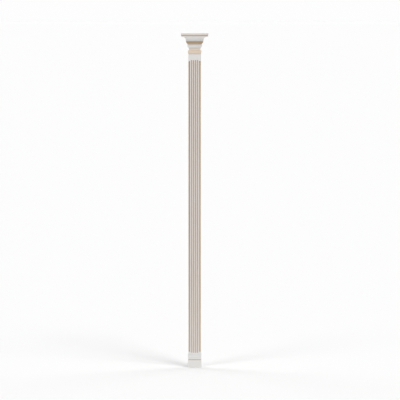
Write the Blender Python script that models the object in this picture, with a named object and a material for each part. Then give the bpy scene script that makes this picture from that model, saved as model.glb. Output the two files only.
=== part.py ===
"""Slender square column with a moulded base, a fluted shaft and a square capital.

Metres, +Z up. The origin is the middle of the underside, and the four sides are alike.
Three pieces stand on each other: base, shaft and capital.
"""

import math

import bpy

# Whole column
COLUMN_HEIGHT = 2.600
SEAT_GAP = 0.0003

# Base, from the floor up
PLINTH_WIDTH = 0.1030
PLINTH_HEIGHT = 0.0590
PLINTH_EASING = 0.0012
WAIST_WIDTH = 0.0990
WAIST_HEIGHT = 0.0190
BASE_BEAD_WIDTH = 0.1042
BASE_BEAD_HEIGHT = 0.0220

# Shaft
SHAFT_WIDTH = 0.0954
FOOT_HEIGHT = 0.0145
NECKING_HEIGHT = 0.0450
CORNER_COVE_RADIUS = 0.0127
COVE_STOP_INSET = 0.0060
COVE_STOP_RISE = 0.0040
FLUTE_COUNT = 4
FLUTE_DEPTH = 0.0036
ARRIS_WIDTH = 0.0070
FILLET_WIDTH = 0.0058

# Capital, from the shaft up
ASTRAGAL_WIDTH = 0.1012
ASTRAGAL_ROOT_WIDTH = 0.0930
ASTRAGAL_HEIGHT = 0.0300
NECK_WIDTH = 0.0875
NECK_HEIGHT = 0.0190
ECHINUS_WIDTH = 0.1130
ECHINUS_ROOT_WIDTH = 0.0915
ECHINUS_HEIGHT = 0.0220
QUIRK_WIDTH = 0.1070
QUIRK_HEIGHT = 0.0094
OVOLO_WIDTH = 0.1303
OVOLO_ROOT_WIDTH = 0.1090
OVOLO_HEIGHT = 0.0195
FASCIA_WIDTH = 0.1342
CAVETTO_WIDTH = 0.1970
CAVETTO_HEIGHT = 0.0290
LIP_WIDTH = 0.2008
LIP_HEIGHT = 0.0045
ABACUS_LINE_WIDTH = 0.2034
ABACUS_LINE_HEIGHT = 0.0070
ABACUS_ROUND_WIDTH = 0.2068
ABACUS_ROUND_HEIGHT = 0.0050
ABACUS_WIDTH = 0.2092
ABACUS_FILLET_HEIGHT = 0.0090
ABACUS_EASING = 0.0012
CAPITAL_HEIGHT = 0.1605

# Facets of the round parts
CURVE_STEPS = 10
FLUTE_STEPS = 8
FLUTE_END_STEPS = 4
COVE_STEPS = 6
SMOOTH_ANGLE = math.radians(32)

# Places along the height
BASE_HEIGHT = PLINTH_HEIGHT + WAIST_HEIGHT + BASE_BEAD_HEIGHT
SHAFT_BOTTOM = BASE_HEIGHT + SEAT_GAP
CAPITAL_BOTTOM = COLUMN_HEIGHT - CAPITAL_HEIGHT
SHAFT_TOP = CAPITAL_BOTTOM - SEAT_GAP

# Flutes share what the corner coves, the arrises and the fillets leave of a face
PANEL_WIDTH = SHAFT_WIDTH - 2 * CORNER_COVE_RADIUS
FLUTE_WIDTH = (PANEL_WIDTH - 2 * ARRIS_WIDTH - (FLUTE_COUNT - 1) * FILLET_WIDTH) / FLUTE_COUNT


def clear_scene():
    for item in list(bpy.data.objects):
        bpy.data.objects.remove(item, do_unlink=True)


def paint(name, colour, roughness):
    material = bpy.data.materials.new(name)
    material.use_nodes = True
    shader = material.node_tree.nodes["Principled BSDF"]
    shader.inputs["Base Color"].default_value = (*colour, 1.0)
    shader.inputs["Roughness"].default_value = roughness
    shader.inputs["Metallic"].default_value = 0.0
    return material


def square(half, height):
    """Corners of one level of a moulded block, anticlockwise seen from above."""
    return [(half, -half, height), (half, half, height), (-half, half, height), (-half, -half, height)]


def quarter_ellipse(start, end, upright_first):
    """Quarter of an ellipse between two (width, height) points, both of them included."""
    points = []
    for step in range(CURVE_STEPS + 1):
        angle = math.radians(90) * step / CURVE_STEPS
        slow, fast = 1 - math.cos(angle), math.sin(angle)
        across, up = (slow, fast) if upright_first else (fast, slow)
        width = start[0] + (end[0] - start[0]) * across
        points.append((width, start[1] + (end[1] - start[1]) * up))
    return points


def ovolo(start, end):
    """Convex quarter, from its narrow bottom edge to its wide top edge."""
    return quarter_ellipse(start, end, upright_first=False)


def cavetto(start, end):
    """Concave quarter, from its narrow bottom edge to its wide top edge."""
    return quarter_ellipse(start, end, upright_first=True)


def half_round(root_width, crest_width, bottom, height):
    """Convex half-round moulding from its bottom edge to its top edge."""
    points = []
    for step in range(CURVE_STEPS + 1):
        angle = math.radians(180) * step / CURVE_STEPS
        width = root_width + (crest_width - root_width) * math.sin(angle)
        points.append((width, bottom + height * (1 - math.cos(angle)) / 2))
    return points


def base_profile():
    """Plinth, waist and bead as (width, height) points from the floor up."""
    plinth_top = PLINTH_HEIGHT
    bead_bottom = plinth_top + WAIST_HEIGHT
    points = [(PLINTH_WIDTH, 0.0), (PLINTH_WIDTH, plinth_top - PLINTH_EASING)]
    points.append((PLINTH_WIDTH - 2 * PLINTH_EASING, plinth_top))
    points += [(WAIST_WIDTH, plinth_top), (WAIST_WIDTH, bead_bottom)]
    points += half_round(WAIST_WIDTH, BASE_BEAD_WIDTH, bead_bottom, BASE_BEAD_HEIGHT)[1:]
    return points


def capital_profile():
    """Astragal, neck, echinus, ovolo, fascia, cavetto and abacus as (width, height) points."""
    neck_bottom = CAPITAL_BOTTOM + ASTRAGAL_HEIGHT
    echinus_bottom = neck_bottom + NECK_HEIGHT
    quirk_bottom = echinus_bottom + ECHINUS_HEIGHT
    ovolo_bottom = quirk_bottom + QUIRK_HEIGHT
    fascia_bottom = ovolo_bottom + OVOLO_HEIGHT
    fillet_bottom = COLUMN_HEIGHT - ABACUS_FILLET_HEIGHT
    line_top = fillet_bottom - ABACUS_ROUND_HEIGHT
    line_bottom = line_top - ABACUS_LINE_HEIGHT
    lip_bottom = line_bottom - LIP_HEIGHT
    cavetto_bottom = lip_bottom - CAVETTO_HEIGHT
    points = half_round(ASTRAGAL_ROOT_WIDTH, ASTRAGAL_WIDTH, CAPITAL_BOTTOM, ASTRAGAL_HEIGHT)
    points += [(NECK_WIDTH, neck_bottom), (NECK_WIDTH, echinus_bottom)]
    points += ovolo((ECHINUS_ROOT_WIDTH, echinus_bottom), (ECHINUS_WIDTH, quirk_bottom))
    points += [(QUIRK_WIDTH, quirk_bottom), (QUIRK_WIDTH, ovolo_bottom)]
    points += ovolo((OVOLO_ROOT_WIDTH, ovolo_bottom), (OVOLO_WIDTH, fascia_bottom))
    points += [(FASCIA_WIDTH, fascia_bottom)]
    points += cavetto((FASCIA_WIDTH, cavetto_bottom), (CAVETTO_WIDTH, lip_bottom))
    points += [(LIP_WIDTH, lip_bottom), (LIP_WIDTH, line_bottom)]
    points += [(ABACUS_LINE_WIDTH, line_bottom), (ABACUS_LINE_WIDTH, line_top)]
    points += ovolo((ABACUS_LINE_WIDTH, line_top), (ABACUS_ROUND_WIDTH, fillet_bottom))
    points += [(ABACUS_WIDTH, fillet_bottom), (ABACUS_WIDTH, COLUMN_HEIGHT - ABACUS_EASING)]
    points.append((ABACUS_WIDTH - 2 * ABACUS_EASING, COLUMN_HEIGHT))
    return points


def flute_centres():
    """Middles of one face's flutes, measured along the face from its centre line."""
    pitch = FLUTE_WIDTH + FILLET_WIDTH
    first = -pitch * (FLUTE_COUNT - 1) / 2
    return [first + pitch * index for index in range(FLUTE_COUNT)]


def flute_points(centre, run):
    """One flute at a level that lies run inside its ball end: (along, depth) points."""
    half = FLUTE_WIDTH / 2
    radius = (half ** 2 + FLUTE_DEPTH ** 2) / (2 * FLUTE_DEPTH)
    sweep = math.asin(min(half / radius, 1.0))
    short = max(half - max(run, 0.0), 0.0)
    share = math.sqrt(half ** 2 - short ** 2) / half
    points = []
    for step in range(FLUTE_STEPS + 1):
        offset = share * radius * math.sin(sweep * (2 * step / FLUTE_STEPS - 1))
        reach = max(radius ** 2 - offset ** 2 - short ** 2, 0.0)
        depth = max(math.sqrt(reach) - (radius - FLUTE_DEPTH), 0.0)
        points.append((centre + offset, depth if 0 < step < FLUTE_STEPS else 0.0))
    return points


def shaft_level(height):
    """Outline of the shaft at one height, four like faces, anticlockwise from above."""
    half = SHAFT_WIDTH / 2
    flute_run = min(height - (SHAFT_BOTTOM + FOOT_HEIGHT), SHAFT_TOP - NECKING_HEIGHT - height)
    cove_run = (flute_run - COVE_STOP_INSET) / COVE_STOP_RISE
    cove_share = min(max(cove_run, 0.0), 1.0)
    panel_end = half - CORNER_COVE_RADIUS
    face = [(-panel_end, half)]
    for centre in flute_centres():
        face += [(along, half - depth) for along, depth in flute_points(centre, flute_run)]
    face.append((panel_end, half))
    for step in range(1, COVE_STEPS):
        angle = math.radians(90) * step / COVE_STEPS
        reach = CORNER_COVE_RADIUS * cove_share
        face.append((half - reach * math.cos(angle), half - reach * math.sin(angle)))
    outline = []
    for turn in range(4):
        for along, out in face:
            across, ahead = along, -out
            for _ in range(turn):
                across, ahead = -ahead, across
            outline.append((across, ahead, height))
    return outline


def shaft_heights():
    """Levels of the shaft: its ends, the flutes' ball ends and the coves' stops."""
    flute_bottom = SHAFT_BOTTOM + FOOT_HEIGHT
    flute_top = SHAFT_TOP - NECKING_HEIGHT
    runs = [COVE_STOP_INSET, COVE_STOP_INSET + COVE_STOP_RISE]
    for step in range(FLUTE_END_STEPS + 1):
        runs.append(FLUTE_WIDTH / 2 * (1 - math.cos(math.radians(90) * step / FLUTE_END_STEPS)))
    heights = [SHAFT_BOTTOM, SHAFT_TOP]
    for run in runs:
        heights += [flute_bottom + run, flute_top - run]
    return sorted(heights)


def stacked_solid(name, levels, material):
    """Closed solid through levels that hold as many points each; points that meet are one."""
    places = {}
    faces = []

    def place(point):
        key = tuple(round(value, 7) for value in point)
        return places.setdefault(key, len(places))

    def add_face(corners):
        loop = []
        for corner in corners:
            if corner not in loop:
                loop.append(corner)
        if len(loop) > 2:
            faces.append(loop)

    rings = [[place(point) for point in level] for level in levels]
    count = len(rings[0])
    for low, high in zip(rings, rings[1:]):
        for index in range(count):
            after = (index + 1) % count
            add_face([low[index], low[after], high[after], high[index]])
    add_face(list(reversed(rings[0])))
    add_face(rings[-1])
    mesh = bpy.data.meshes.new(name)
    mesh.from_pydata([list(key) for key in places], [], faces)
    mesh.validate()
    mesh.shade_smooth()
    mesh.set_sharp_from_angle(angle=SMOOTH_ANGLE)
    mesh.materials.append(material)
    solid = bpy.data.objects.new(name, mesh)
    bpy.context.scene.collection.objects.link(solid)
    return solid


def moulded_block(name, profile, material):
    """Square block whose four mitred sides follow one profile of (width, height) points."""
    return stacked_solid(name, [square(width / 2, height) for width, height in profile], material)


def build_column():
    ivory = paint("ivory_paint", (0.80, 0.78, 0.75), 0.45)
    glaze = paint("beige_glazed_paint", (0.56, 0.44, 0.33), 0.48)
    moulded_block("base", base_profile(), ivory)
    stacked_solid("shaft", [shaft_level(height) for height in shaft_heights()], glaze)
    moulded_block("capital", capital_profile(), ivory)


clear_scene()
build_column()
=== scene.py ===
"""Looks of the slender square column: ivory paint with beige glaze wiped into its hollows.

Metres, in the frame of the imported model, whose four faces are alike and whose origin is the
middle of the underside.
"""

import math

import bpy
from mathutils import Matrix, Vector


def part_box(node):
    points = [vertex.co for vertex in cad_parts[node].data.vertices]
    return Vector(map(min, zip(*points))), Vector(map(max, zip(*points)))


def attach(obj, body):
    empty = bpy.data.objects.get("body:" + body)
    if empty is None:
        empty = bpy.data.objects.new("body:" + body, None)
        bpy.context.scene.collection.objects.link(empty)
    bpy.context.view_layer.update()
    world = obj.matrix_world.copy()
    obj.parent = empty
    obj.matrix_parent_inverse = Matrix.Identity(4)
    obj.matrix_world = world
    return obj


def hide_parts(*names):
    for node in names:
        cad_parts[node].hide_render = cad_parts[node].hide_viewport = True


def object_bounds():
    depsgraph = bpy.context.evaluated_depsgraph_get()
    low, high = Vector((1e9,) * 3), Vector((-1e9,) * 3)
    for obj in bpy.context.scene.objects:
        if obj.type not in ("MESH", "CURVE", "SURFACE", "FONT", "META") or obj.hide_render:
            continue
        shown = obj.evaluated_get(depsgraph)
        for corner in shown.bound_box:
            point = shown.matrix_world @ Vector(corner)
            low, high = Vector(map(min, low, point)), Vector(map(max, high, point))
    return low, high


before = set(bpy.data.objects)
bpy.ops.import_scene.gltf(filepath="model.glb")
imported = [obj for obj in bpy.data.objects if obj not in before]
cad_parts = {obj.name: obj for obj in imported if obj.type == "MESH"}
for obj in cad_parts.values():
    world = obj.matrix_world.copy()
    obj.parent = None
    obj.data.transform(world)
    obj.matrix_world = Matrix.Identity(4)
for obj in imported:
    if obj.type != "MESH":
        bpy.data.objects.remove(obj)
cad_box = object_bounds()

# Moulding sizes, as in the solids, from the floor up
PLINTH_WIDTH = 0.1030
PLINTH_HEIGHT = 0.0590
PLINTH_EASING = 0.0012
WAIST_WIDTH = 0.0990
WAIST_HEIGHT = 0.0190
BASE_LINE_HEIGHT = 0.0055
BASE_LINE_EDGE = 0.0004
BASE_BEAD_WIDTH = 0.1042
BASE_BEAD_HEIGHT = 0.0220

FOOT_HEIGHT = 0.0145
NECKING_HEIGHT = 0.0450
CORNER_COVE_RADIUS = 0.0127
COVE_STOP_INSET = 0.0060
COVE_STOP_RISE = 0.0040
FLUTE_COUNT = 4
FLUTE_DEPTH = 0.0036
ARRIS_WIDTH = 0.0070
FILLET_WIDTH = 0.0058

ASTRAGAL_WIDTH = 0.1012
ASTRAGAL_ROOT_WIDTH = 0.0930
ASTRAGAL_HEIGHT = 0.0300
NECK_WIDTH = 0.0875
NECK_HEIGHT = 0.0190
ECHINUS_WIDTH = 0.1130
ECHINUS_ROOT_WIDTH = 0.0915
ECHINUS_HEIGHT = 0.0220
QUIRK_WIDTH = 0.1070
QUIRK_HEIGHT = 0.0094
OVOLO_WIDTH = 0.1303
OVOLO_ROOT_WIDTH = 0.1090
OVOLO_HEIGHT = 0.0195
FASCIA_WIDTH = 0.1342
CAVETTO_WIDTH = 0.1970
CAVETTO_HEIGHT = 0.0290
LIP_WIDTH = 0.2008
LIP_HEIGHT = 0.0045
ABACUS_LINE_WIDTH = 0.2034
ABACUS_LINE_HEIGHT = 0.0070
ABACUS_ROUND_WIDTH = 0.2068
ABACUS_ROUND_HEIGHT = 0.0050
ABACUS_WIDTH = 0.2092
ABACUS_FILLET_HEIGHT = 0.0090
ABACUS_EASING = 0.0012

# Beige glaze on each member, and shade painted on in glaze colours: 0 is bare ivory, 1 a full
# coat, and more than 1 a deeper one
NO_GLAZE = 0.0
FULL_GLAZE = 1.0
# The shaft's glaze ramps up towards the top: painted light low down and painted shade high up,
# over its real glaze
SHAFT_BOTTOM_GLAZE_PAINTED_LIGHT = 0.86
SHAFT_TOP_GLAZE_PAINTED_SHADE = 1.16
BASE_LINE_GLAZE = 1.2
ASTRAGAL_GLAZE = 0.42
# More glaze at the astragal's roots than at its crest: a painted shadow line, over the ring's
# real glaze
ASTRAGAL_CREVICE_GLAZE_AND_SHADE = 0.85
# The neck's glaze is partly real glaze and partly painted shade under the echinus
NECK_GLAZE_AND_SHADE = 0.17
# The echinus's faint glaze is painted shade
ECHINUS_PAINTED_SHADE = 0.06
# The quirk's glaze is a painted shadow line
QUIRK_PAINTED_SHADE = 0.25
OVOLO_GLAZE = 1.35
ABACUS_LINE_GLAZE = 1.5
ABACUS_ROUND_GLAZE = 0.30
ABACUS_GLAZE = 0.08

# Fineness, rounded edges and wear
FACE_COUNT = 4
CURVE_STEPS = 14
EASE_STEPS = 4
EASE_RADIUS = 0.0007
EASE_SIDE_SHARE = 0.45
EASE_FROM = math.radians(25)
RUB_REACH = 0.0016
CORNER_EASE_RADIUS = 0.0011
CORNER_STEPS = 5
SIDE_STEPS = 12
FLUTE_STEPS = 20
FLUTE_END_STEPS = 10
FLUTE_EDGE = 0.0004
COVE_STEPS = 12
COVE_STOP_STEPS = 6
SHAFT_ROWS = 10
GLAZE_START_DEPTH = 0.0003
GLAZE_FULL_DEPTH = 0.0011
WELD_REACH = 0.00001
SHARP_FROM = math.radians(40)

# Colours of the paint
IVORY = (0.775, 0.772, 0.76, 1.0)
IVORY_WARM = (0.76, 0.742, 0.715, 1.0)
PRIMER = (0.72, 0.64, 0.54, 1.0)
# Thin glaze is also the colour of the painted shade on the neck, echinus and quirk, and deep
# glaze of the painted shade at the shaft's top
GLAZE_THIN = (0.745, 0.585, 0.445, 1.0)
GLAZE_LIGHT = (0.565, 0.425, 0.28, 1.0)
GLAZE_DARK = (0.50, 0.365, 0.23, 1.0)
GLAZE_DEEP = (0.30, 0.20, 0.11, 1.0)

# Marks in a metre of paint, and the noises that draw them
BRISTLE_MARKS = 1100
SHAFT_STROKE_MARKS = 9
MOULDING_STROKE_MARKS = 22
STREAK_SHARE = 0.25
CLOUD_MARKS = 5
SPECK_MARKS = 420
FINE_DETAIL = 3.0
BROAD_DETAIL = 2.0
NOISE_ROUGHNESS = 0.55

# Spans of noise, or of glaze, over which each tint of the paint comes in
CLOUD_TINT = (0.35, 0.70)
SPECK_WEAR = (0.55, 0.72)
MOST_WORN = 0.30
STREAK_TINT = (0.36, 0.64)
STREAK_MIDDLE = 0.5
RAGGEDNESS = 0.3
GLAZE_ONSET = (0.0, 0.10)
THIN_GLAZE_SPAN = (0.0, 0.5)
WIPED_GLAZE_SPAN = (0.5, 1.0)
DEEP_GLAZE_SPAN = (1.1, 2.0)

# Sheen and relief of the paint
CLOUD_SHEEN = (0.3, 0.7)
PAINT_ROUGHNESS = (0.38, 0.48)
GLAZE_ROUGHNESS = 0.08
WORN_ROUGHNESS = 0.2
SPECK_RELIEF = 0.25
BUMP_STRENGTH = 0.5
BUMP_HEIGHT = 0.00012

# Sockets of the colour mix node
MIX_FACTOR = 0
MIX_FIRST = 6
MIX_SECOND = 7
MIX_RESULT = 2

# The photograph's frame, in its pixels, and where the column stands in it
PHOTO_SIDE = 400
COLUMN_TOP_ROW = 33.4
COLUMN_BOTTOM_ROW = 367.6
COLUMN_MIDDLE = 194.7
FOCAL_PIXELS = 2600
COLUMN_TURN = math.radians(-1.2)
EYE_HEIGHT = 2.75
SENSOR_WIDTH = 36
AIM_ROUNDS = 12

# Studio: a faint sky and a pale floor, each with one brightness seen and another that lights
WHITE = (1, 1, 1, 1)
SKY_SEEN = 0.985
SKY_LIGHT = 0.04
FLOOR_SIZE = 2000
FLOOR_DROP = 0.0002
FLOOR_COLOUR = (0.93, 0.93, 0.93, 1)
GLOW_NEAR = 1.00
GLOW_FAR = 0.88
GLOW_REACH = 14.0

# Soft suns: angles in degrees, the compass counted to the right from the camera's side
SUN_DISTANCE = 3.0
SUNS = {
    "front_low": {"compass": 8, "height": 15, "spread": 60, "strength": 0.50},
    "front_right_key": {"compass": 30, "height": 49, "spread": 15, "strength": 0.72},
    "front_right_fill": {"compass": 49, "height": 49, "spread": 22, "strength": 0.66},
    "front_left_fill": {"compass": -38, "height": 49, "spread": 19, "strength": 0.60},
    "back_left": {"compass": -132, "height": 49, "spread": 26, "strength": 0.68},
    "back": {"compass": 180, "height": 49, "spread": 42, "strength": 0.70},
    "back_right": {"compass": 133, "height": 49, "spread": 26, "strength": 0.68},
}


def half_round(root, crest, bottom, height, crevice_glaze_and_shade, crest_glaze):
    """Half-round out from its root width to its crest and back, with its glaze; the crevice value
    can add a painted shadow line at the roots.
    """
    points = []
    for step in range(CURVE_STEPS + 1):
        angle = math.pi * step / CURVE_STEPS
        out = math.sin(angle)
        width = root + (crest - root) * out
        glaze_and_painted_shade = crevice_glaze_and_shade + (crest_glaze - crevice_glaze_and_shade) * math.sqrt(max(out, 0.0))
        points.append((width, bottom + height * (1 - math.cos(angle)) / 2, glaze_and_painted_shade))
    return points


def quarter_ellipse(start, end, upright_first, glaze_and_painted_shade):
    """Quarter ellipse from one (width, height) to another, which sets off upright or level."""
    points = []
    for step in range(CURVE_STEPS + 1):
        angle = math.pi / 2 * step / CURVE_STEPS
        slow, fast = 1 - math.cos(angle), math.sin(angle)
        across, up = (slow, fast) if upright_first else (fast, slow)
        width = start[0] + (end[0] - start[0]) * across
        points.append((width, start[1] + (end[1] - start[1]) * up, glaze_and_painted_shade))
    return points


def ovolo(start, end, glaze_and_painted_shade):
    """Convex quarter, from its narrow bottom edge to its wide top edge."""
    return quarter_ellipse(start, end, False, glaze_and_painted_shade)


def cavetto(start, end, glaze_and_painted_shade):
    """Concave quarter, from its narrow bottom edge to its wide top edge."""
    return quarter_ellipse(start, end, True, glaze_and_painted_shade)


def upright(width, bottom, top, glaze_and_painted_shade):
    """Straight face that stands upright."""
    return [(width, bottom, glaze_and_painted_shade), (width, top, glaze_and_painted_shade)]


def base_profile():
    """(width, height, glaze) from the floor up."""
    line_top = PLINTH_HEIGHT + BASE_LINE_HEIGHT
    bead_bottom = PLINTH_HEIGHT + WAIST_HEIGHT
    points = upright(PLINTH_WIDTH, 0.0, PLINTH_HEIGHT - PLINTH_EASING, NO_GLAZE)
    points.append((PLINTH_WIDTH - 2 * PLINTH_EASING, PLINTH_HEIGHT, NO_GLAZE))
    points += upright(WAIST_WIDTH, PLINTH_HEIGHT, line_top, BASE_LINE_GLAZE)
    points += upright(WAIST_WIDTH, line_top + BASE_LINE_EDGE, bead_bottom, NO_GLAZE)
    points += half_round(
        WAIST_WIDTH, BASE_BEAD_WIDTH, bead_bottom, BASE_BEAD_HEIGHT, NO_GLAZE, NO_GLAZE
    )
    return points


def capital_profile(bottom, top):
    """(width, height, glaze) from the astragal up to the top slab."""
    neck_bottom = bottom + ASTRAGAL_HEIGHT
    echinus_bottom = neck_bottom + NECK_HEIGHT
    quirk_bottom = echinus_bottom + ECHINUS_HEIGHT
    ovolo_bottom = quirk_bottom + QUIRK_HEIGHT
    fascia_bottom = ovolo_bottom + OVOLO_HEIGHT
    fillet_bottom = top - ABACUS_FILLET_HEIGHT
    line_top = fillet_bottom - ABACUS_ROUND_HEIGHT
    line_bottom = line_top - ABACUS_LINE_HEIGHT
    lip_bottom = line_bottom - LIP_HEIGHT
    cavetto_bottom = lip_bottom - CAVETTO_HEIGHT
    points = half_round(
        ASTRAGAL_ROOT_WIDTH,
        ASTRAGAL_WIDTH,
        bottom,
        ASTRAGAL_HEIGHT,
        ASTRAGAL_CREVICE_GLAZE_AND_SHADE,
        ASTRAGAL_GLAZE,
    )
    points += upright(NECK_WIDTH, neck_bottom, echinus_bottom, NECK_GLAZE_AND_SHADE)
    points += ovolo(
        (ECHINUS_ROOT_WIDTH, echinus_bottom), (ECHINUS_WIDTH, quirk_bottom), ECHINUS_PAINTED_SHADE
    )
    points += upright(QUIRK_WIDTH, quirk_bottom, ovolo_bottom, QUIRK_PAINTED_SHADE)
    points += ovolo((OVOLO_ROOT_WIDTH, ovolo_bottom), (OVOLO_WIDTH, fascia_bottom), OVOLO_GLAZE)
    points += upright(FASCIA_WIDTH, fascia_bottom, cavetto_bottom, NO_GLAZE)
    points += cavetto((FASCIA_WIDTH, cavetto_bottom), (CAVETTO_WIDTH, lip_bottom), NO_GLAZE)
    points += upright(LIP_WIDTH, lip_bottom, line_bottom, NO_GLAZE)
    points += upright(ABACUS_LINE_WIDTH, line_bottom, line_top, ABACUS_LINE_GLAZE)
    points += ovolo(
        (ABACUS_LINE_WIDTH, line_top), (ABACUS_ROUND_WIDTH, fillet_bottom), ABACUS_ROUND_GLAZE
    )
    points += upright(ABACUS_WIDTH, fillet_bottom, top - ABACUS_EASING, ABACUS_GLAZE)
    points.append((ABACUS_WIDTH - 2 * ABACUS_EASING, top, NO_GLAZE))
    return points


def eased(points, radius):
    """Open outline with its corners rounded over: points become (across, up, glaze and painted
    shade, rub).

    Rub is 1 on a rounded outer corner, where hands and cloths wear the paint, and 0 a little
    way from it.
    """
    outline = [(*points[0], 0.0)]
    for before, here, after in zip(points, points[1:], points[2:]):
        spot = Vector(here[:2])
        back = Vector(before[:2]) - spot
        ahead = Vector(after[:2]) - spot
        if min(back.length, ahead.length) < WELD_REACH:
            outline.append((*here, 0.0))
            continue
        turn = math.pi - back.angle(ahead)
        if turn < EASE_FROM:
            outline.append((*here, 0.0))
            continue
        outward = back.x * ahead.y - back.y * ahead.x > 0
        room = min(back.length, ahead.length) * EASE_SIDE_SHARE
        reach = min(radius * math.tan(turn / 2), room)
        start = spot + back.normalized() * reach
        end = spot + ahead.normalized() * reach
        guard = reach + RUB_REACH
        if outward and back.length > 2 * guard:
            clear = spot + back.normalized() * guard
            outline.append((clear.x, clear.y, here[2], 0.0))
        for step in range(EASE_STEPS + 1):
            share = step / EASE_STEPS
            place = start * (1 - share) ** 2 + spot * 2 * share * (1 - share) + end * share ** 2
            outline.append((place.x, place.y, here[2], 1.0 if outward else 0.0))
        if outward and ahead.length > 2 * guard:
            clear = spot + ahead.normalized() * guard
            outline.append((clear.x, clear.y, here[2], 0.0))
    outline.append((*points[-1], 0.0))
    return outline


def add_piece(name, levels, material):
    """Closed mesh through levels of (x, y, z, glaze and painted shade, rub) points, as many on
    each level.
    """
    count = len(levels[0])
    points = [point for level in levels for point in level]
    faces = []
    for row in range(len(levels) - 1):
        for index in range(count):
            after = (index + 1) % count
            low, high = row * count, (row + 1) * count
            faces.append((low + index, low + after, high + after, high + index))
    faces.append(tuple(reversed(range(count))))
    faces.append(tuple(range(len(points) - count, len(points))))
    mesh = bpy.data.meshes.new(name)
    mesh.from_pydata([point[:3] for point in points], [], faces)
    for column, value_name in ((3, "glaze_and_painted_shade"), (4, "rub")):
        values = mesh.attributes.new(value_name, "FLOAT", "POINT")
        values.data.foreach_set("value", [point[column] for point in points])
    mesh.validate()
    mesh.shade_smooth()
    mesh.set_sharp_from_angle(angle=SHARP_FROM)
    mesh.materials.append(material)
    piece = bpy.data.objects.new(name, mesh)
    bpy.context.scene.collection.objects.link(piece)
    weld = piece.modifiers.new("one point where points meet", "WELD")
    weld.merge_threshold = WELD_REACH
    normals = piece.modifiers.new("flat faces stay flat", "WEIGHTED_NORMAL")
    normals.keep_sharp = True
    return piece


def square_level(width, height, glaze_and_painted_shade, rub):
    """One level of a moulded block, with eased corners, anticlockwise seen from above."""
    half = width / 2
    inner = half - CORNER_EASE_RADIUS
    side = []
    for step in range(1, SIDE_STEPS):
        side.append((half, (inner - RUB_REACH) * (2 * step / SIDE_STEPS - 1), rub))
    side.append((half, inner - RUB_REACH, rub))
    for step in range(CORNER_STEPS + 1):
        angle = math.pi / 2 * step / CORNER_STEPS
        along, out = CORNER_EASE_RADIUS * math.cos(angle), CORNER_EASE_RADIUS * math.sin(angle)
        side.append((inner + along, inner + out, 1.0))
    side.append((inner - RUB_REACH, half, rub))
    level = []
    for turn in range(FACE_COUNT):
        cos, sin = round(math.cos(turn * math.pi / 2)), round(math.sin(turn * math.pi / 2))
        for x, y, wear in side:
            level.append((x * cos - y * sin, x * sin + y * cos, height, glaze_and_painted_shade, wear))
    return level


def moulded_piece(name, profile, material):
    """Square block whose four sides all follow one profile, mitred at the corners."""
    levels = [square_level(*point) for point in eased(profile, EASE_RADIUS)]
    return add_piece(name, levels, material)


def blend(low, high, value):
    """0 up to low, 1 from high on, and a smooth rise between them."""
    share = min(max((value - low) / (high - low), 0.0), 1.0)
    return share * share * (3 - 2 * share)


def flute_section(reach, radius):
    """Depth and rub of a flute at a distance from its middle, with its edge rounded over."""
    cut = math.sqrt(max(radius ** 2 - reach ** 2, 0.0)) - (radius - FLUTE_DEPTH)
    near = max(FLUTE_EDGE - abs(cut), 0.0) / FLUTE_EDGE
    return max(cut, 0.0) + near ** 2 * FLUTE_EDGE / 4, near


def flute_points(centre, half, run):
    """One flute on one level, run being how far inside its end the level lies."""
    radius = (half ** 2 + FLUTE_DEPTH ** 2) / (2 * FLUTE_DEPTH)
    outer = math.sqrt(radius ** 2 - (radius - FLUTE_DEPTH - FLUTE_EDGE) ** 2)
    short = min(max(half - run, 0.0), outer)
    reach = math.sqrt(outer ** 2 - short ** 2)
    points = []
    for step in range(FLUTE_STEPS + 1):
        offset = reach * math.sin(math.pi * (step / FLUTE_STEPS - 0.5))
        depth, rub = flute_section(math.hypot(offset, short), radius)
        glaze_and_painted_shade = blend(GLAZE_START_DEPTH, GLAZE_FULL_DEPTH, depth)
        points.append((centre + offset, depth, glaze_and_painted_shade, rub))
    return points


def resampled(points, count):
    """Points along an open outline, count of them, evenly spread."""
    lengths = [0.0]
    for here, after in zip(points, points[1:]):
        lengths.append(lengths[-1] + math.dist(here[:2], after[:2]))
    spread = []
    index = 0
    for step in range(count):
        goal = lengths[-1] * step / (count - 1)
        while index < len(points) - 2 and lengths[index + 1] < goal:
            index += 1
        span = lengths[index + 1] - lengths[index]
        share = (goal - lengths[index]) / span
        here, after = points[index], points[index + 1]
        spread.append(tuple(a + (b - a) * share for a, b in zip(here, after)))
    return spread


def corner_outlines(half):
    """The coved corner and the plain one, from one face's panel to the next, point for point."""
    panel = half - CORNER_COVE_RADIUS
    margin = ARRIS_WIDTH / 2
    cove = [(panel - margin, half, NO_GLAZE)]
    for step in range(COVE_STEPS + 1):
        angle = math.pi / 2 * step / COVE_STEPS
        across, out = CORNER_COVE_RADIUS * math.cos(angle), CORNER_COVE_RADIUS * math.sin(angle)
        glaze_and_painted_shade = NO_GLAZE if step in (0, COVE_STEPS) else FULL_GLAZE
        cove.append((half - across, half - out, glaze_and_painted_shade))
    cove.append((half, panel - margin, NO_GLAZE))
    cove = eased(cove, EASE_RADIUS)
    plain = [
        (panel - margin, half, NO_GLAZE),
        (half, half, NO_GLAZE),
        (half, panel - margin, NO_GLAZE),
    ]
    return cove, resampled(eased(plain, CORNER_EASE_RADIUS), len(cove))


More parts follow.
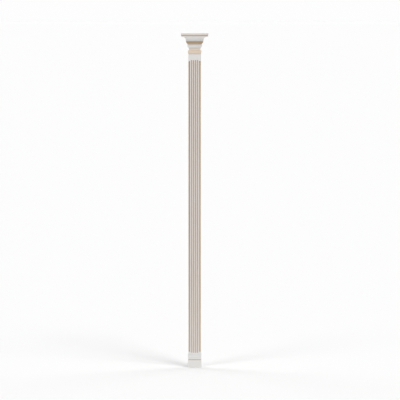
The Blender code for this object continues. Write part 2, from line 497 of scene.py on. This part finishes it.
def shaft_level(height, bottom, top, half, flute_width, corner):
    """One level of the shaft: four faces of flutes, each with a corner after it.

    run is how far the level lies inside the length of the flutes, below zero outside it.
    """
    run = min(height - bottom - FOOT_HEIGHT, top - NECKING_HEIGHT - height)
    cove_share = blend(COVE_STOP_INSET, COVE_STOP_INSET + COVE_STOP_RISE, run)
    pitch = flute_width + FILLET_WIDTH
    first = -pitch * (FLUTE_COUNT - 1) / 2
    face = []
    for index in range(FLUTE_COUNT):
        for along, depth, glaze_and_painted_shade, rub in flute_points(first + pitch * index, flute_width / 2, run):
            face.append((along, half - depth, glaze_and_painted_shade, rub))
    for coved, plain in zip(*corner):
        face.append(tuple(b + (a - b) * cove_share for a, b in zip(coved, plain)))
    # Glaze grows with height: painted shade towards the top of the shaft, painted light towards
    # its foot
    share = (height - bottom) / (top - bottom)
    glaze_with_height_shade = SHAFT_BOTTOM_GLAZE_PAINTED_LIGHT + (SHAFT_TOP_GLAZE_PAINTED_SHADE - SHAFT_BOTTOM_GLAZE_PAINTED_LIGHT) * share
    level = []
    for turn in range(FACE_COUNT):
        for along, out, glaze_and_painted_shade, rub in face:
            across, ahead = along, -out
            for _ in range(turn):
                across, ahead = -ahead, across
            level.append((across, ahead, height, glaze_and_painted_shade * glaze_with_height_shade, rub))
    return level


def shaft_piece(name, material):
    """Shaft with levels set close where its flutes and coves end."""
    low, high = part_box("shaft")
    half = (high[0] - low[0]) / 2
    bottom, top = low[2], high[2]
    panel_width = 2 * (half - CORNER_COVE_RADIUS)
    fillets = 2 * ARRIS_WIDTH + (FLUTE_COUNT - 1) * FILLET_WIDTH
    flute_width = (panel_width - fillets) / FLUTE_COUNT
    corner = corner_outlines(half)
    runs = []
    for step in range(COVE_STOP_STEPS + 1):
        runs.append(COVE_STOP_INSET + COVE_STOP_RISE * step / COVE_STOP_STEPS)
    for step in range(FLUTE_END_STEPS + 1):
        angle = math.pi / 2 * step / FLUTE_END_STEPS
        runs.append(flute_width / 2 * (1 - math.cos(angle)) - FLUTE_EDGE * math.cos(angle))
    heights = {bottom, top}
    for run in runs:
        heights |= {bottom + FOOT_HEIGHT + run, top - NECKING_HEIGHT - run}
    for row in range(1, SHAFT_ROWS):
        heights.add(bottom + (top - bottom) * row / SHAFT_ROWS)
    levels = []
    for height in sorted(heights):
        levels.append(shaft_level(height, bottom, top, half, flute_width, corner))
    return add_piece(name, levels, material)


def add_node(tree, kind, inputs=None, **settings):
    """New node with its settings, and its sockets set to plain values."""
    node = tree.nodes.new(kind)
    for key, value in settings.items():
        setattr(node, key, value)
    for key, value in (inputs or {}).items():
        node.inputs[key].default_value = value
    return node


def plug(tree, socket, value):
    """Sets a socket to a plain value or links it to another socket."""
    if isinstance(value, (int, float, tuple)):
        socket.default_value = value
    else:
        tree.links.new(value, socket)


def mixed(tree, factor, first, second):
    """Colour mix of two colours or sockets by a factor socket."""
    node = add_node(tree, "ShaderNodeMix", data_type="RGBA")
    plug(tree, node.inputs[MIX_FACTOR], factor)
    plug(tree, node.inputs[MIX_FIRST], first)
    plug(tree, node.inputs[MIX_SECOND], second)
    return node.outputs[MIX_RESULT]


def noise(tree, place, marks, detail):
    """Noise with as many marks in a metre along each axis as given."""
    mapping = add_node(tree, "ShaderNodeMapping", {"Scale": marks})
    tree.links.new(place, mapping.inputs["Vector"])
    settings = {"Scale": 1.0, "Detail": detail, "Roughness": NOISE_ROUGHNESS}
    texture = add_node(tree, "ShaderNodeTexNoise", settings)
    tree.links.new(mapping.outputs["Vector"], texture.inputs["Vector"])
    return texture.outputs["Fac"]


def ranged(tree, value, span, target=(0.0, 1.0)):
    """Value brought from one (low, high) span to another, and kept within it."""
    limits = {"From Min": span[0], "From Max": span[1], "To Min": target[0], "To Max": target[1]}
    node = add_node(tree, "ShaderNodeMapRange", limits)
    tree.links.new(value, node.inputs["Value"])
    return node.outputs["Result"]


def reckon(tree, operation, first, second):
    """Result of a sum with two sockets or plain values."""
    node = add_node(tree, "ShaderNodeMath", operation=operation)
    plug(tree, node.inputs[0], first)
    plug(tree, node.inputs[1], second)
    return node.outputs[0]


def brush_marks(upward, sideways, share):
    """Marks in a metre along each axis, the same along both level ones."""
    return (sideways * share, sideways * share, upward * share)


def painted_wood(name, upward, sideways):
    """Ivory paint and beige glaze, brushed along the direction that has the fewer marks.

    upward and sideways are how many brush marks fit in a metre up and across; the mesh's
    glaze value says where glaze lies and where shade is painted in glaze colours, and its rub
    value where the paint is worn thin.
    """
    material = bpy.data.materials.new(name)
    material.use_nodes = True
    tree = material.node_tree
    shader = tree.nodes["Principled BSDF"]
    place = add_node(tree, "ShaderNodeTexCoord").outputs["Object"]
    glaze_and_painted_shade = add_node(tree, "ShaderNodeAttribute", attribute_name="glaze_and_painted_shade").outputs["Fac"]
    rub = add_node(tree, "ShaderNodeAttribute", attribute_name="rub").outputs["Fac"]
    bristles = noise(tree, place, brush_marks(upward, sideways, 1.0), FINE_DETAIL)
    streaks = noise(tree, place, brush_marks(upward, sideways, STREAK_SHARE), BROAD_DETAIL)
    clouds = noise(tree, place, (CLOUD_MARKS, CLOUD_MARKS, CLOUD_MARKS), BROAD_DETAIL)
    specks = noise(tree, place, (SPECK_MARKS, SPECK_MARKS, SPECK_MARKS), FINE_DETAIL)

    ivory = mixed(tree, ranged(tree, clouds, CLOUD_TINT), IVORY, IVORY_WARM)
    worn = reckon(tree, "MULTIPLY", rub, ranged(tree, specks, SPECK_WEAR, (0.0, MOST_WORN)))
    ivory = mixed(tree, worn, ivory, PRIMER)
    wiped = mixed(tree, ranged(tree, streaks, STREAK_TINT), GLAZE_LIGHT, GLAZE_DARK)
    uneven = reckon(tree, "SUBTRACT", streaks, STREAK_MIDDLE)
    glaze_and_shade_depth = reckon(tree, "ADD", glaze_and_painted_shade, reckon(tree, "MULTIPLY", uneven, RAGGEDNESS))
    glaze_and_shade_depth = reckon(tree, "MULTIPLY", glaze_and_shade_depth, ranged(tree, glaze_and_painted_shade, GLAZE_ONSET))
    colour = mixed(tree, ranged(tree, glaze_and_shade_depth, THIN_GLAZE_SPAN), ivory, GLAZE_THIN)
    colour = mixed(tree, ranged(tree, glaze_and_shade_depth, WIPED_GLAZE_SPAN), colour, wiped)
    colour = mixed(tree, ranged(tree, glaze_and_shade_depth, DEEP_GLAZE_SPAN), colour, GLAZE_DEEP)
    tree.links.new(colour, shader.inputs["Base Color"])

    roughness = ranged(tree, clouds, CLOUD_SHEEN, PAINT_ROUGHNESS)
    cover = ranged(tree, glaze_and_shade_depth, (NO_GLAZE, FULL_GLAZE))
    roughness = reckon(tree, "ADD", roughness, reckon(tree, "MULTIPLY", cover, GLAZE_ROUGHNESS))
    roughness = reckon(tree, "ADD", roughness, reckon(tree, "MULTIPLY", worn, WORN_ROUGHNESS))
    tree.links.new(roughness, shader.inputs["Roughness"])
    relief = reckon(tree, "ADD", bristles, reckon(tree, "MULTIPLY", specks, SPECK_RELIEF))
    bump = add_node(tree, "ShaderNodeBump", {"Strength": BUMP_STRENGTH, "Distance": BUMP_HEIGHT})
    tree.links.new(relief, bump.inputs["Height"])
    tree.links.new(bump.outputs["Normal"], shader.inputs["Normal"])
    return material


def dress_column():
    """The three visible pieces, each in place of its solid."""
    shaft_paint = painted_wood("glazed_shaft_paint", SHAFT_STROKE_MARKS, BRISTLE_MARKS)
    moulding_paint = painted_wood("ivory_paint", BRISTLE_MARKS, MOULDING_STROKE_MARKS)
    capital_low, capital_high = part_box("capital")
    capital = capital_profile(capital_low[2], capital_high[2])
    pieces = {
        "base": moulded_piece("painted_base", base_profile(), moulding_paint),
        "shaft": shaft_piece("painted_shaft", shaft_paint),
        "capital": moulded_piece("painted_capital", capital, moulding_paint),
    }
    for node, piece in pieces.items():
        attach(piece, "root")
        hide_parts(node)


def add_camera():
    """Long lens before the column, tipped so that slab and plinth meet the photograph's rows."""
    height = cad_box[1][2] - cad_box[0][2]
    slab_reach = cad_box[1][0]
    plinth_reach = PLINTH_WIDTH / 2
    middle = PHOTO_SIDE / 2
    above = math.atan((middle - COLUMN_TOP_ROW) / FOCAL_PIXELS)
    below = math.atan((COLUMN_BOTTOM_ROW - middle) / FOCAL_PIXELS)
    away = height / (above + below)
    for _ in range(AIM_ROUNDS):
        rise = math.atan((height - EYE_HEIGHT) / (away - slab_reach))
        fall = math.atan(EYE_HEIGHT / (away - plinth_reach))
        away *= (rise + fall) / (above + below)
    tip = above - rise
    aside = (middle - COLUMN_MIDDLE) * away / FOCAL_PIXELS
    ahead = Vector((math.sin(COLUMN_TURN), math.cos(COLUMN_TURN), 0))
    right = Vector((math.cos(COLUMN_TURN), -math.sin(COLUMN_TURN), 0))
    camera_data = bpy.data.cameras.new("camera")
    camera_data.sensor_width = SENSOR_WIDTH
    camera_data.lens = FOCAL_PIXELS * SENSOR_WIDTH / PHOTO_SIDE
    camera_data.clip_end = away + FLOOR_SIZE
    camera = bpy.data.objects.new("camera", camera_data)
    camera.location = right * aside - ahead * away + Vector((0, 0, EYE_HEIGHT))
    camera.rotation_euler = (math.pi / 2 - tip, 0, -COLUMN_TURN)
    bpy.context.scene.collection.objects.link(camera)
    bpy.context.scene.camera = camera


def seen_or_lit(tree, seen, lit, output):
    """Shows one shader to the camera and lights the scene by the other."""
    path = add_node(tree, "ShaderNodeLightPath")
    mix = add_node(tree, "ShaderNodeMixShader")
    tree.links.new(path.outputs["Is Camera Ray"], mix.inputs[0])
    tree.links.new(lit.outputs[0], mix.inputs[1])
    tree.links.new(seen.outputs[0], mix.inputs[2])
    tree.links.new(mix.outputs[0], output.inputs[0])


def add_sky():
    """White world that lights faintly."""
    world = bpy.data.worlds.new("studio")
    bpy.context.scene.world = world
    world.use_nodes = True
    tree = world.node_tree
    tree.nodes.clear()
    seen = add_node(tree, "ShaderNodeBackground", {"Color": WHITE, "Strength": SKY_SEEN})
    lit = add_node(tree, "ShaderNodeBackground", {"Color": WHITE, "Strength": SKY_LIGHT})
    seen_or_lit(tree, seen, lit, add_node(tree, "ShaderNodeOutputWorld"))


def add_floor():
    """Pale floor whose glow on the column is set apart from how it looks itself."""
    half = FLOOR_SIZE / 2
    mesh = bpy.data.meshes.new("floor")
    corners = [(-half, -half, 0), (half, -half, 0), (half, half, 0), (-half, half, 0)]
    mesh.from_pydata(corners, [], [(0, 1, 2, 3)])
    floor = bpy.data.objects.new("floor", mesh)
    floor.location.z = -FLOOR_DROP
    bpy.context.scene.collection.objects.link(floor)
    material = bpy.data.materials.new("pale_floor")
    material.use_nodes = True
    material.cycles.emission_sampling = "NONE"
    tree = material.node_tree
    tree.nodes.clear()
    seen = add_node(tree, "ShaderNodeBsdfDiffuse", {"Color": FLOOR_COLOUR})
    place = add_node(tree, "ShaderNodeTexCoord").outputs["Object"]
    away = add_node(tree, "ShaderNodeVectorMath", operation="LENGTH")
    tree.links.new(place, away.inputs[0])
    lit = add_node(tree, "ShaderNodeEmission")
    glow = ranged(tree, away.outputs["Value"], (0.0, GLOW_REACH), (GLOW_NEAR, GLOW_FAR))
    tree.links.new(glow, lit.inputs["Strength"])
    seen_or_lit(tree, seen, lit, add_node(tree, "ShaderNodeOutputMaterial"))
    mesh.materials.append(material)


def add_suns():
    """Sun lamps that stand round the column and shine at it."""
    for name, sun in SUNS.items():
        rise = math.radians(sun["height"])
        data = bpy.data.lights.new(name, "SUN")
        data.angle = math.radians(sun["spread"])
        data.energy = sun["strength"]
        lamp = bpy.data.objects.new(name, data)
        around = math.radians(sun["compass"])
        level = math.cos(rise)
        toward = Vector((level * math.sin(around), -level * math.cos(around), math.sin(rise)))
        lamp.location = toward * SUN_DISTANCE
        lamp.rotation_euler = (-toward).to_track_quat("-Z", "Y").to_euler()
        bpy.context.scene.collection.objects.link(lamp)


add_camera()
dress_column()
add_sky()
add_floor()
add_suns()
bpy.context.scene.view_settings.view_transform = "Standard"
